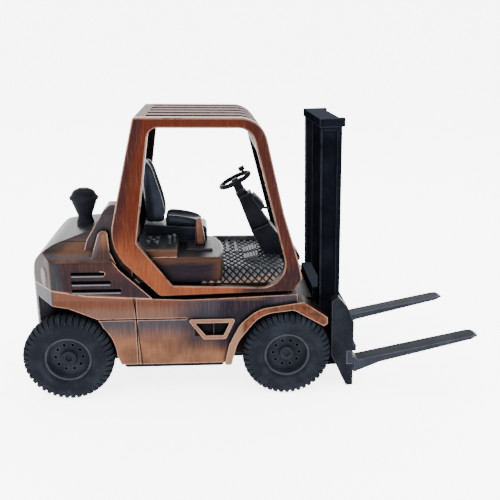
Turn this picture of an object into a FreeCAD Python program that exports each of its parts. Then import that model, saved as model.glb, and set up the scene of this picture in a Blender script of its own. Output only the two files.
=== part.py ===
import FreeCAD, Part
import math
import os

# Die-cast miniature forklift truck. Millimetres, +X forward to the fork tips, +Y to the
# driver's left, +Z up. It is drawn with X = 0 midway between the axles and stored with its
# origin on the ground under the middle of its length.

V = FreeCAD.Vector
PARTS = "parts"

# ---- driving dimensions ----
WHEELBASE = 52.0
REAR_AXLE_X = -WHEELBASE / 2
FRONT_AXLE_X = WHEELBASE / 2
AXLE_Z = 10.4
TYRE_R = 10.7
TYRE_WIDTH = 5.6
TYRE_OUTER_Y = 18.0
RIM_R = 5.3
AXLE_R = 1.2
RUNNING_GAP = 0.05
TYRE_GAP = 0.8

BODY_HALF_W = 17.0
REAR_X = -35.8
FORK_TIP_X = 74.6
ORIGIN_X = (REAR_AXLE_X - TYRE_R + FORK_TIP_X) / 2
ORIGIN_Z = AXLE_Z - TYRE_R

SKIRT_BOTTOM = 8.5
PAN_BOTTOM = 7.6
SCREW_R = 0.7
SCREW_HEAD_R = 1.5
SCREW_HEAD_H = 0.5
SCREW_HOLE_DEPTH = 3.1
SCREW_PLACES = [(-9.0, -10.9), (-9.0, 10.9), (8.0, -10.9), (8.0, 10.9)]
WALL = 2.0
DECK_TOP = 24.4
WELL_INNER_Y = 11.9
WEB_INNER_Y = 9.9

FLOOR_TOP = 29.8
CONSOLE_TOP = 34.4
DRIVER_Y = 4.0

GUARD_TOP = 66.7
GUARD_THICK = 2.2
GUARD_INNER_Y = BODY_HALF_W - GUARD_THICK
ROOF_SLOTS = 5
ROOF_SLOT_W = 2.5
ROOF_SLOT_PITCH = 6.2

STEER_TILT = 27.0
STEER_CENTRE = V(14.3, DRIVER_Y, 48.9)
STEER_RING_R = 3.9
STEER_TUBE_R = 0.55

MAST_TILT = 2.0
MAST_FOOT_X = 35.1
MAST_DEPTH = 4.9
MAST_HALF_W = 12.0
RAIL_W = 2.6
RAIL_FOOT = 4.5
MAST_TOP = 64.2
TOP_PLATE_THICK = 1.9

CARRIAGE_HALF_W = 15.0
CARRIAGE_BACK = 6.5
BAR_THICK = 1.6
FORK_Y = 13.0
FORK_W = 4.0
FORK_HEEL_Z = 7.0
FORK_TIP_Z = 13.3


# ---- helpers ----
def corner_arc(before, corner, after, radius):
    """Tangent arc that rounds one corner: its start, middle and end points."""
    to_before = (before - corner).normalize()
    to_after = (after - corner).normalize()
    half = to_before.getAngle(to_after) / 2
    bisector = (to_before + to_after).normalize()
    reach = radius / math.tan(half)
    centre = corner + bisector * (radius / math.sin(half))
    middle = centre - bisector * radius
    return corner + to_before * reach, middle, corner + to_after * reach


def outline(points, place):
    """Closed wire through (a, b) or (a, b, corner radius) points, set in space by place(a, b)."""
    corners = [place(p[0], p[1]) for p in points]
    count = len(corners)
    edges = []
    ends = []
    for i, point in enumerate(points):
        radius = point[2] if len(point) > 2 else 0
        if radius:
            start, middle, end = corner_arc(corners[i - 1], corners[i], corners[(i + 1) % count], radius)
            ends.append((start, end, Part.Arc(start, middle, end).toShape()))
        else:
            ends.append((corners[i], corners[i], None))
    for i in range(count):
        if ends[i][2]:
            edges.append(ends[i][2])
        here = ends[i][1]
        there = ends[(i + 1) % count][0]
        if (there - here).Length > 1e-6:
            edges.append(Part.makeLine(here, there))
    return Part.Wire(edges)


def side_prism(points, y0, y1):
    """Side-view outline (x, z) extruded across the truck from y0 to y1."""
    wire = outline(points, lambda a, b: V(a, y0, b))
    return Part.Face(wire).extrude(V(0, y1 - y0, 0))


def plan_prism(points, z0, z1):
    """Plan outline (x, y) extruded upward from z0 to z1."""
    wire = outline(points, lambda a, b: V(a, b, z0))
    return Part.Face(wire).extrude(V(0, 0, z1 - z0))


def end_prism(points, x0, x1):
    """End-view outline (y, z) extruded along the truck from x0 to x1."""
    wire = outline(points, lambda a, b: V(x0, a, b))
    return Part.Face(wire).extrude(V(x1 - x0, 0, 0))


def block(x0, x1, y0, y1, z0, z1):
    return Part.makeBox(x1 - x0, y1 - y0, z1 - z0, V(x0, y0, z0))


def disc(x, z, radius, y0, y1):
    """Round bar across the truck."""
    return Part.makeCylinder(radius, y1 - y0, V(x, y0, z), V(0, 1, 0))


def rod(start, direction, radius, length):
    return Part.makeCylinder(radius, length, start, direction)


def turned(profile, centre, axis=V(0, 0, 1)):
    """Solid of revolution of a closed (radius, height) profile about an axis at centre."""
    wire = outline(profile, lambda r, h: V(r, 0, h))
    solid = Part.Face(wire).revolve(V(0, 0, 0), V(0, 0, 1), 360)
    solid.Placement = FreeCAD.Placement(centre, FreeCAD.Rotation(V(0, 0, 1), axis))
    return solid


def other_side(shape):
    return shape.mirror(V(0, 0, 0), V(0, 1, 0))


def both_sides(shape):
    return [shape, other_side(shape)]


def fused(pieces):
    return pieces[0].fuse(pieces[1:]).removeSplitter()


def save(node, shape):
    moved = shape.copy()
    moved.translate(V(-ORIGIN_X, 0, -ORIGIN_Z))
    moved.exportStep(f"{PARTS}/{node}.step")


# ---- lower body ----
# Plan of the body: straight sides and a rounded tail.
TAIL_PLAN = [
    (-28.6, BODY_HALF_W, 1.0),
    (-33.8, 11.0, 4.0),
    (REAR_X, 3.6, 8.0),
    (REAR_X, -3.6, 8.0),
    (-33.8, -11.0, 4.0),
    (-28.6, -BODY_HALF_W, 1.0),
]
# Seam between the lower casting and the counterweight and cab above it.
SEAM = [(40.0, 26.3), (12.0, 25.2), (2.0, 24.9), (-10.9, 25.5), (-20.9, 26.1), (-28.4, 27.5), (-42.0, 28.6)]
REAR_WELL = [
    (-33.4, 0.0), (-33.4, 24.9), (-31.4, 24.3), (-25.1, 23.1), (-18.3, 20.1, 3.0),
    (-15.4, 13.0), (-13.6, SKIRT_BOTTOM), (-13.6, 0.0),
]
FRONT_ARCH = [
    (12.4, 0.0), (12.6, 8.3), (14.0, 14.2, 8.0), (19.4, 21.3, 8.0), (27.3, 22.2, 2.0),
    (34.6, 18.0), (42.0, 18.0), (42.0, 0.0),
]


def chassis_casting():
    """Skirts, deck, inner webs that carry the axles, front mudguards and the tail wall."""
    plan = [(28.2, -BODY_HALF_W), (28.2, BODY_HALF_W)] + TAIL_PLAN
    body = plan_prism(plan, SKIRT_BOTTOM, 30.0)
    above_seam = SEAM + [(-42.0, 40.0), (40.0, 40.0)]
    body = body.cut(side_prism(above_seam, -20, 20))
    deck_line = [(27.0, DECK_TOP), (-28.4, DECK_TOP), (-28.4, 40.0), (27.0, 40.0)]
    inner_y = BODY_HALF_W - 1.2
    body = body.cut(side_prism(deck_line, -inner_y, inner_y))
    deck_under = DECK_TOP - WALL
    tail_inner = -33.0
    body = body.cut(block(tail_inner, 26.0, -WEB_INNER_Y, WEB_INNER_Y, 0, deck_under))
    for side in (1, -1):
        y0, y1 = sorted((side * WELL_INNER_Y, side * 19.0))
        body = body.cut(side_prism(REAR_WELL, y0, y1))
        body = body.cut(disc(REAR_AXLE_X, AXLE_Z, TYRE_R + TYRE_GAP, y0, y1))
        body = body.cut(side_prism(FRONT_ARCH, y0, y1))
        h0, h1 = sorted((side * WELL_INNER_Y, side * (BODY_HALF_W - WALL)))
        body = body.cut(block(-11.5, 10.5, h0, h1, 0, deck_under))
    mudguard = [
        (10.9, 8.3, 0.5), (12.0, 13.5), (14.4, 18.7, 8.0), (18.8, 22.6, 8.0), (29.6, 24.2, 0.8),
        (35.4, 20.2, 0.4), (35.5, 18.6, 0.4), (34.6, 18.0), (27.3, 22.2, 2.0), (19.4, 21.3, 8.0),
        (14.0, 14.2, 8.0), (12.6, 8.3, 0.4),
    ]
    guards = both_sides(side_prism(mudguard, 12.4, 18.0))
    frames = []
    for side in (1, -1):
        y0, y1 = sorted((side * (BODY_HALF_W - 0.4), side * (BODY_HALF_W + 0.5)))
        rim = [(2.2, 20.1, 0.5), (13.6, 20.1, 0.5), (11.3, 14.9, 0.8), (6.0, 14.9, 0.8)]
        pane = [(4.0, 19.1), (12.1, 19.1), (10.7, 15.9), (6.5, 15.9)]
        bar = block(8.25, 8.5, y0 - 0.2, y1 + 0.2, 15.0, 20.0)
        recess = side_prism(pane, y0 - 0.2, y1 + 0.1).cut(bar)
        body = body.cut(recess)
        frames.append(side_prism(rim, y0, y1).cut(side_prism(pane, y0 - 0.2, y1 + 0.1)))
    nose = on_mast(mast_block(-9.7, -1.3, -9.0, 9.0, 10.0, 22.0))
    body = fused([body, nose] + guards + frames)
    for axle_x in (REAR_AXLE_X, FRONT_AXLE_X):
        body = body.cut(disc(axle_x, AXLE_Z, AXLE_R + RUNNING_GAP, -13.0, 13.0))
    for x, y in SCREW_PLACES:
        body = body.cut(rod(V(x, y, SKIRT_BOTTOM), V(0, 0, 1), SCREW_R, SCREW_HOLE_DEPTH))
    return body


def step_line(body):
    """Shut line of the skirt and the moulded ledge along it."""
    for side in (1, -1):
        y0, y1 = sorted((side * (BODY_HALF_W - 0.3), side * (BODY_HALF_W + 0.2)))
        shut = [(-9.95, 26.0), (-9.65, 26.0), (-9.35, 7.0), (-9.65, 7.0)]
        body = body.cut(side_prism(shut, y0, y1))
        ledge = [(-19.0, 20.3), (2.0, 20.3), (2.0, 19.95), (-19.0, 19.95)]
        body = body.cut(side_prism(ledge, y0, y1))
    return body


def base_plate():
    """Plastic pan under the axles: wide between the wheels, narrow past them."""
    front, rear, half = 10.8, -13.0, 16.6
    wide = plan_prism(
        [(rear, -half, 1), (front, -half, 1), (front, half, 1), (rear, half, 1)], PAN_BOTTOM, SKIRT_BOTTOM
    )
    narrow = block(-34.0, 27.5, -WELL_INNER_Y, WELL_INNER_Y, PAN_BOTTOM, SKIRT_BOTTOM)
    tray_half = WEB_INNER_Y - 0.1
    tray = block(-11.3, 10.3, -tray_half, tray_half, SKIRT_BOTTOM, SKIRT_BOTTOM + 1.1)
    plate = fused([wide, narrow, tray])
    for x, y in SCREW_PLACES:
        plate = plate.cut(rod(V(x, y, PAN_BOTTOM), V(0, 0, 1), SCREW_R, 2.0))
        plate = plate.cut(rod(V(x, y, PAN_BOTTOM), V(0, 0, 1), SCREW_HEAD_R, SCREW_HEAD_H))
    return plate


def base_screws():
    """Four screws with flush heads that hold the base plate, with crossed slots."""
    length = SKIRT_BOTTOM + SCREW_HOLE_DEPTH - PAN_BOTTOM
    slot_top = PAN_BOTTOM + 0.3
    screws = []
    for x, y in SCREW_PLACES:
        head = rod(V(x, y, PAN_BOTTOM), V(0, 0, 1), SCREW_HEAD_R, SCREW_HEAD_H)
        shank = rod(V(x, y, PAN_BOTTOM), V(0, 0, 1), SCREW_R, length)
        slot_a = block(x - 1.1, x + 1.1, y - 0.2, y + 0.2, 0.0, slot_top)
        slot_b = block(x - 0.2, x + 0.2, y - 1.1, y + 1.1, 0.0, slot_top)
        screws.append(fused([head, shank]).cut(slot_a).cut(slot_b))
    return Part.makeCompound(screws)


# ---- counterweight and hood ----
# Side profile of the domed hood along the middle, and its section across the truck.
HOOD_PROFILE = [
    (10.0, 20.0), (REAR_X, 20.0), (REAR_X, 25.2, 3.0), (-33.9, 28.9, 4.0), (-33.4, 33.4, 6.0),
    (-29.8, 37.0, 8.0), (-21.5, 39.2, 15.0), (10.0, 42.6),
]
HOOD_SECTION = [
    (17.0, 20.0), (17.0, 34.2, 1.0), (14.2, 36.6, 4.0), (8.0, 39.4, 12.0), (0.0, 40.8, 24.0),
    (-8.0, 39.4, 12.0), (-14.2, 36.6, 4.0), (-17.0, 34.2, 1.0), (-17.0, 20.0),
]
FRONT_LINE = [(-5.6, 20.0), (-5.6, 25.2), (-12.9, 32.2), (-14.5, 34.4), (-16.0, 35.1)]
VENTS = [(31.6, -16.4), (29.5, -15.1), (27.5, -12.8)]


def counterweight():
    """Domed rear casting with side vents, lamp recesses, the bulkhead and its raised right duct."""
    plan = plan_prism([(0.0, -BODY_HALF_W), (0.0, BODY_HALF_W)] + TAIL_PLAN, 20.0, 45.0)
    hood = plan.common(side_prism(HOOD_PROFILE, -20, 20)).common(end_prism(HOOD_SECTION, -40.0, 5.0))
    hood = hood.cut(side_prism(FRONT_LINE + [(-16.0, 60.0), (10.0, 60.0), (10.0, 20.0)], -20, 20))
    below_seam = SEAM + [(-42.0, 0.0), (40.0, 0.0)]
    hood = hood.cut(side_prism(below_seam, -20, 20))
    bulkhead = side_prism([
        (-21.8, 34.0), (-20.4, 38.9), (-16.7, 45.2), (-15.0, 46.8, 1.0), (-13.6, 46.8),
        (-10.4, 34.0), (-10.4, 30.0), (-21.8, 30.0),
    ], -14.4, 14.4)
    wing = side_prism([
        (-20.0, 33.0), (-17.3, 41.5, 1.2), (-15.4, 41.3, 0.6), (-15.1, 36.6), (-13.6, 33.0),
    ], -16.2, 16.2)
    top = end_prism([
        (-16.5, 20.0), (-16.5, 40.2, 1.5), (-13.4, 46.9, 1.0), (-9.4, 46.9, 0.8), (-7.6, 41.6, 1.5),
        (13.0, 41.6, 1.5), (16.5, 38.0, 1.5), (16.5, 20.0),
    ], -24.0, -9.0)
    bulkhead = fused([bulkhead, wing]).common(top)
    under_front = [(-40.0, 0.0), (-40.0, 32.2), (-12.9, 32.2), (-5.6, 25.2), (-5.6, 0.0)]
    bulkhead = bulkhead.cut(side_prism(under_front, -20, 20))
    hollow = side_prism([
        (-31.0, 20.0), (-31.0, 31.0), (-27.0, 34.6), (-17.0, 37.2), (-17.0, 33.0), (-8.0, 24.0),
    ], -12.4, 12.4)
    body = fused([hood, bulkhead]).cut(hollow).cut(tail_lamps())
    for side in (1, -1):
        y0, y1 = sorted((side * (BODY_HALF_W - 1.0), side * (BODY_HALF_W + 0.5)))
        for level, front_x in VENTS:
            low, high = level - 0.4, level + 0.4
            vent = [(-24.0, low, 0.3), (front_x, low, 0.3), (front_x, high, 0.3), (-24.0, high, 0.3)]
            body = body.cut(side_prism(vent, y0, y1))
    return body


def air_intake(hood):
    """Mushroom-shaped intake stack that stands on the hood."""
    profile = [
        (0.0, 38.0), (2.1, 38.0), (2.1, 39.6), (1.75, 40.6), (1.75, 41.2), (2.9, 44.3), (3.1, 45.1),
        (3.5, 45.2, 0.15), (3.5, 45.8, 0.15), (3.1, 46.1), (2.6, 47.2, 1.2), (1.2, 47.9, 1.6),
        (0.0, 47.9),
    ]
    return turned(profile, V(-23.0, 0, 0)).cut(hood)


def tail_lamps():
    """Oval lenses let into the rear corners."""
    lamps = []
    for side in (1, -1):
        outward = V(-0.756, side * 0.655, 0)
        centre = V(-30.6, side * 14.7, 30.4) - outward * 1.0
        upright = Part.Ellipse(V(0, 0, 0), 2.2, 1.1).toShape()
        lens = Part.Face(Part.Wire([upright])).extrude(V(0, 0, 1.1))
        along = outward.cross(V(0, 0, 1))
        turn = FreeCAD.Rotation(V(0, 0, 1), along, outward, "ZXY")
        lens.Placement = FreeCAD.Placement(centre, turn)
        lamps.append(lens)
    return Part.makeCompound(lamps)


# ---- cab ----
PANEL_TOP = 36.4
PUSH_KNOBS = [(-6.9, -10.0), (-5.7, -8.6), (-4.8, -10.2), (-6.6, -7.0), (-4.7, -7.0)]
TOGGLES = [(-1.9, -9.4), (-0.8, -8.0)]


def cab_floor():
    """Floor plate inside the guard with a kerb on its far side, on a plinth over the deck."""
    under = 27.6
    side = [(-6.0, under), (-6.0, FLOOR_TOP), (27.2, FLOOR_TOP, 0.8), (27.9, under)]
    plate = side_prism(side, -GUARD_INNER_Y, GUARD_INNER_Y)
    plinth = block(-5.4, 26.6, -13.4, 13.4, DECK_TOP, under)
    kerb = [(7.3, FLOOR_TOP), (8.6, FLOOR_TOP + 1.3), (25.6, FLOOR_TOP + 1.3), (26.2, FLOOR_TOP)]
    return fused([plate, plinth, side_prism(kerb, GUARD_INNER_Y - 0.8, GUARD_INNER_Y)])


def console(hood):
    """Engine cover across the cab, with a rounded front that runs out beside the driver."""
    rear = -10.4
    plan = [
        (rear, -14.6), (10.2, -14.6, 0.8), (11.4, -4.0, 8.0), (9.6, 2.4, 2.5), (7.2, 4.2, 1.0),
        (7.2, 14.6), (rear, 14.6),
    ]
    cover = plan_prism(plan, FLOOR_TOP, CONSOLE_TOP)
    lever_slot = block(4.2, 6.4, -8.0, -2.4, CONSOLE_TOP - 0.6, CONSOLE_TOP + 1)
    return cover.cut(lever_slot).cut(hood)


def control_panel():
    """Raised switch box beside the seat."""
    plan = [(-9.4, -14.3, 0.6), (0.2, -14.3, 0.6), (0.2, -1.8, 0.6), (-9.4, -1.8, 0.6)]
    box = plan_prism(plan, CONSOLE_TOP, PANEL_TOP)
    return box.makeChamfer(0.3, [e for e in box.Edges if e.BoundBox.ZMin > PANEL_TOP - 0.1])


def panel_knobs():
    """Five push knobs and two toggles on the switch box."""
    knobs = []
    for x, y in PUSH_KNOBS:
        stem = rod(V(x, y, PANEL_TOP), V(0, 0, 1), 0.28, 0.5)
        cap = rod(V(x, y, PANEL_TOP + 0.5), V(0, 0, 1), 0.5, 0.45)
        knobs.append(fused([stem, cap]))
    for x, y in TOGGLES:
        stem = rod(V(x, y, PANEL_TOP), V(0, 0, 1), 0.3, 1.5)
        cap = Part.makeSphere(0.5, V(x, y, PANEL_TOP + 1.5))
        knobs.append(fused([stem, cap]))
    return Part.makeCompound(knobs)


def hand_lever():
    """Flat hydraulic lever, wide at the foot, standing in its slotted gate."""
    gate = block(2.1, 8.4, -9.3, -1.9, CONSOLE_TOP, CONSOLE_TOP + 0.5)
    gate = gate.makeChamfer(0.2, [e for e in gate.Edges if e.BoundBox.ZMin > CONSOLE_TOP + 0.4])
    foot = CONSOLE_TOP + 0.5
    stick = side_prism([(4.1, foot), (6.7, foot), (5.7, 41.6, 0.5), (4.5, 41.6, 0.5)], -6.1, -4.6)
    return fused([gate, stick])


def seat_base():
    """Pan under the cushion, with a rounded front."""
    side = [(-8.4, CONSOLE_TOP), (7.1, CONSOLE_TOP), (7.1, 38.6, 1.2), (3.4, 37.9), (-8.4, 38.8)]
    return side_prism(side, -0.9, 6.2)


def seat_cushion():
    """Cushion with raised side bolsters."""
    side = [(-3.4, 38.4), (-2.7, 41.3, 0.6), (4.8, 40.0, 0.9), (5.2, 38.0, 0.5)]
    middle = side_prism([(-3.4, 38.9), (-3.0, 40.6), (6.0, 39.5, 0.8), (6.0, 38.2)], 0.4, 4.9)
    pad = fused([side_prism(side, -1.5, 0.4), middle, side_prism(side, 4.9, 6.8)])
    return pad.cut(seat_base())


def seat_back():
    """Reclined back rest with side bolsters."""
    side = [
        (-3.7, 39.0), (-3.0, 42.6), (-5.8, 52.6, 3.0), (-7.0, 54.8, 1.0), (-9.0, 53.6, 1.0), (-8.0, 39.0),
    ]
    middle = [
        (-4.5, 39.0), (-4.1, 42.6), (-6.8, 52.2), (-7.5, 54.2, 0.5), (-8.8, 53.4, 0.5), (-8.0, 39.0),
    ]
    bolsters = [side_prism(side, -1.4, 0.5), side_prism(side, 4.8, 6.7)]
    back = fused([side_prism(middle, 0.5, 4.8)] + bolsters)
    return back.cut(seat_base()).cut(seat_cushion())


def foot_pedals():
    """Two sill bars and two ribbed pedals on the floor."""
    pieces = []
    for x in (12.5, 14.7):
        pieces.append(block(x - 0.35, x + 0.35, 3.0, 13.6, FLOOR_TOP, FLOOR_TOP + 0.5))
    heel, toe, half = 16.4, 19.8, 1.7
    side = [(heel, FLOOR_TOP), (heel, FLOOR_TOP + 0.7), (toe, FLOOR_TOP + 1.6), (toe, FLOOR_TOP)]
    for y in (-1.6, 3.6):
        pad = side_prism(side, y - half, y + half)
        for i in range(4):
            x = heel + 0.5 + 0.75 * i
            bottom = FLOOR_TOP + 0.55 + 0.2 * i
            pad = pad.cut(block(x, x + 0.3, y - 1.8, y + 1.8, bottom, FLOOR_TOP + 2.5))
        pieces.append(pad)
    return Part.makeCompound(pieces)


# ---- steering ----
STEER_AXIS = V(-math.sin(math.radians(STEER_TILT)), 0, math.cos(math.radians(STEER_TILT)))
SHAFT_R = 0.8
SHAFT_LENGTH = 7.0


def steering_column():
    """Column on a cowl with a forward lip, bored for the steering shaft, with a collar on top."""
    column = side_prism([
        (15.1, 44.6), (18.4, 36.2), (20.0, 33.0), (23.8, 34.0), (23.0, 38.4), (20.1, 42.7),
        (18.3, 46.2),
    ], DRIVER_Y - 1.9, DRIVER_Y + 1.9)
    cowl = side_prism([
        (18.4, 36.2), (21.9, FLOOR_TOP), (27.95, FLOOR_TOP), (27.95, 28.4), (31.0, 28.3),
        (31.3, 29.2, 0.3), (29.3, 32.3, 1.0), (26.0, 34.6), (23.0, 38.4),
    ], DRIVER_Y - 3.3, DRIVER_Y + 3.3)
    ring = rod(STEER_CENTRE - STEER_AXIS * 4.6, STEER_AXIS, 1.45, 1.5)
    body = fused([column, cowl, ring])
    return body.cut(rod(STEER_CENTRE - STEER_AXIS * 9.5, STEER_AXIS, SHAFT_R + RUNNING_GAP, 9.5))


def instrument_pod():
    """Display housing on the front of the column, with a small indicator stalk."""
    pod = side_prism([
        (20.1, 42.7), (18.6, 44.6), (19.3, 45.5, 0.4), (21.9, 42.7, 0.4), (21.2, 41.8), (20.8, 41.2),
    ], DRIVER_Y - 2.4, DRIVER_Y + 2.4)
    stalk = rod(V(20.6, DRIVER_Y - 0.8, 42.0), V(1, 0, -0.1), 0.3, 2.4)
    return fused([pod, stalk]).cut(steering_column())


def steering_wheel():
    """Rim, three spokes, hub and shaft."""
    rim = Part.makeTorus(STEER_RING_R, STEER_TUBE_R)
    pieces = [rim]
    for turn in (90, 210, 330):
        spoke = Part.makeBox(STEER_RING_R, 0.8, 0.5, V(0, -0.4, -0.45))
        spoke.rotate(V(0, 0, 0), V(0, 0, 1), turn)
        pieces.append(spoke)
    pieces.append(Part.makeCone(1.25, 1.0, 2.8, V(0, 0, -2.8)))
    pieces.append(rod(V(0, 0, -SHAFT_LENGTH), V(0, 0, 1), SHAFT_R, SHAFT_LENGTH))
    pieces.append(Part.makeCone(1.0, 0.7, 0.35))
    wheel = fused(pieces)
    wheel.Placement = FreeCAD.Placement(STEER_CENTRE, FreeCAD.Rotation(V(0, 1, 0), -STEER_TILT))
    return wheel


def spinner_knob():
    """Spinner knob on the far rim of the steering wheel."""
    turn = math.radians(46)
    x = STEER_RING_R * math.cos(turn)
    y = STEER_RING_R * math.sin(turn)
    stem = rod(V(x, y, STEER_TUBE_R - 0.05), V(0, 0, 1), 0.35, 0.4)
    cap = rod(V(x, y, STEER_TUBE_R + 0.35), V(0, 0, 1), 0.8, 1.0)
    knob = fused([stem, cap])
    knob.Placement = FreeCAD.Placement(STEER_CENTRE, FreeCAD.Rotation(V(0, 1, 0), -STEER_TILT))
    return knob.cut(steering_wheel())


# ---- overhead guard ----
GUARD_OUTER = [
    (-8.7, GUARD_TOP, 0.6), (-15.5, 37.4, 11.0), (-3.9, 25.7, 2.0), (27.2, 26.6, 2.0), (29.2, 29.6, 1.6),
    (28.3, 33.4, 10.0), (24.5, 45.3), (19.2, GUARD_TOP, 6.2),
]
GUARD_OPENING = [
    (-5.4, 64.5, 2.4), (-8.9, 38.7, 0.8), (-1.0, 28.4, 0.6), (26.7, 27.5, 5.5), (16.8, 64.5, 3.8),
]


def guard_side():
    """Right side frame of the overhead guard: one closed loop, chamfered on the outside."""
    y0 = -BODY_HALF_W
    loop = side_prism(GUARD_OUTER, y0, -GUARD_INNER_Y).cut(side_prism(GUARD_OPENING, y0 - 1, 0))
    outer_edges = [e for e in loop.Edges if e.BoundBox.YMax < y0 + 0.01]
    return loop.makeChamfer(0.3, outer_edges)


def guard_roof():
    """Slatted roof that bends down at the front, between the two side frames."""
    half = GUARD_INNER_Y
    shell = side_prism(GUARD_OUTER, -half, half).cut(side_prism(GUARD_OPENING, -half - 1, half + 1))
    kept = [
        (-12.0, 62.6), (-12.0, 70.0), (25.0, 70.0), (25.0, 59.6), (17.5, 59.0), (12.0, 64.0),
        (-4.4, 64.0), (-6.6, 62.6),
    ]
    shell = shell.common(side_prism(kept, -half, half))
    cutter_side = [(-6.3, 60.0), (-6.3, 70.0), (30.0, 70.0), (30.0, 62.2), (16.0, 60.0)]
    for i in range(ROOF_SLOTS):
        y = (i - (ROOF_SLOTS - 1) / 2) * ROOF_SLOT_PITCH
        shell = shell.cut(side_prism(cutter_side, y - ROOF_SLOT_W / 2, y + ROOF_SLOT_W / 2))
    return shell


# ---- mast ----
def on_mast(shape):
    """Leans a piece drawn upright at the mast's foot back to the mast's rake."""
    leaned = shape.copy()
    leaned.rotate(V(MAST_FOOT_X, 0, 0), V(0, 1, 0), -MAST_TILT)
    return leaned


def mast_block(s0, s1, y0, y1, z0, z1):
    """Block placed by its distance in front of the mast's rear face."""
    return block(MAST_FOOT_X + s0, MAST_FOOT_X + s1, y0, y1, z0, z1)


GROOVE_BACK = 1.7
GROOVE_FRONT = 3.7
GROOVE_DEEP = 1.0
RAIL_INNER_Y = MAST_HALF_W - RAIL_W
SLIDE_GAP = 0.3
SPINE_BACK = 5.3
RUNNER_FOOT = 4.8
RUNNER_TOP = 16.4


def mast_rail():
    """Right rail: a channel with a shallow outer web and an inner groove for the carriage."""
    rail = mast_block(0, MAST_DEPTH, -MAST_HALF_W, -RAIL_INNER_Y, RAIL_FOOT, MAST_TOP)
    recess = mast_block(
        0.4, 3.8, -MAST_HALF_W - 1, -MAST_HALF_W + 0.5, RAIL_FOOT + 0.8, MAST_TOP - 0.8
    )
    groove_side = -RAIL_INNER_Y - GROOVE_DEEP
    groove = mast_block(GROOVE_BACK, GROOVE_FRONT, groove_side, 0, 0, MAST_TOP - 1.0)
    return rail.cut(recess).cut(groove)


def mast_top_plate():
    """Cap over both rails, with its ends carried forward."""
    half = MAST_HALF_W + 0.4
    top = MAST_TOP + TOP_PLATE_THICK
    plate = mast_block(-0.3, MAST_DEPTH - 0.4, -half, half, MAST_TOP, top)
    end = mast_block(MAST_DEPTH - 1.0, MAST_DEPTH + 0.6, half - 2.0, half, MAST_TOP, top)
    return fused([plate] + both_sides(end))


def mast_bracket():
    """Cross piece between the rails that ties the mast to the nose of the chassis."""
    return mast_block(-1.3, 1.3, -RAIL_INNER_Y, RAIL_INNER_Y, 8.0, 24.8)


def mast_cylinder():
    """Lift cylinder and its rod, standing low between the rails."""
    barrel = rod(V(MAST_FOOT_X + 2.7, 0, 6.0), V(0, 0, 1), 1.1, 17.0)
    foot = mast_block(1.3, 3.9, -1.6, 1.6, 5.0, 6.0)
    return fused([barrel, foot])


def mast_screws():
    """Two screws through the bracket into the nose."""
    screws = []
    for y in (-5.5, 5.5):
        head = rod(V(MAST_FOOT_X + 1.3, y, 14.0), V(1, 0, 0), 1.3, 0.7)
        slot = mast_block(1.7, 2.3, y - 1.0, y + 1.0, 13.8, 14.2)
        screws.append(head.cut(slot))
    return Part.makeCompound(screws)


# ---- fork carriage ----
def fork_carriage():
    """Two cross bars on gusseted side guides, with runners in the rail grooves."""
    front = CARRIAGE_BACK + BAR_THICK
    w = CARRIAGE_HALF_W
    back_x = MAST_FOOT_X + CARRIAGE_BACK
    upper = end_prism([
        (-w, 11.0), (-w, 17.2, 0.3), (-9.4, 17.2), (-7.6, 18.2, 0.4), (7.6, 18.2, 0.4), (9.4, 17.2),
        (w, 17.2, 0.3), (w, 11.0),
    ], back_x, back_x + BAR_THICK)
    lower = mast_block(CARRIAGE_BACK, front, -w, w, 0.1, 6.0)
    lip = mast_block(CARRIAGE_BACK, front + 0.7, -w, w, 9.5, 11.0)
    spine = mast_block(SPINE_BACK, CARRIAGE_BACK, -w, w, 2.4, RUNNER_TOP)
    guide = side_prism([
        (MAST_FOOT_X + 2.6, 8.8), (MAST_FOOT_X + 2.6, 22.8, 0.6), (MAST_FOOT_X + 4.2, 24.0, 0.6),
        (back_x, 21.2, 2.0), (back_x + BAR_THICK, 17.0), (back_x, 17.0), (back_x, 0.1),
        (MAST_FOOT_X + 6.4, 0.1),
    ], MAST_HALF_W + SLIDE_GAP, w)
    neck = mast_block(GROOVE_BACK + SLIDE_GAP, SPINE_BACK, 7.4, 9.1, RUNNER_FOOT, RUNNER_TOP)
    runner = mast_block(
        GROOVE_BACK + SLIDE_GAP, GROOVE_FRONT - SLIDE_GAP, 9.0, 10.1, RUNNER_FOOT, RUNNER_TOP
    )
    pieces = [upper, lower, lip, spine]
    for piece in (guide, neck, runner):
        pieces += both_sides(piece)
    return on_mast(fused(pieces))


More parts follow.
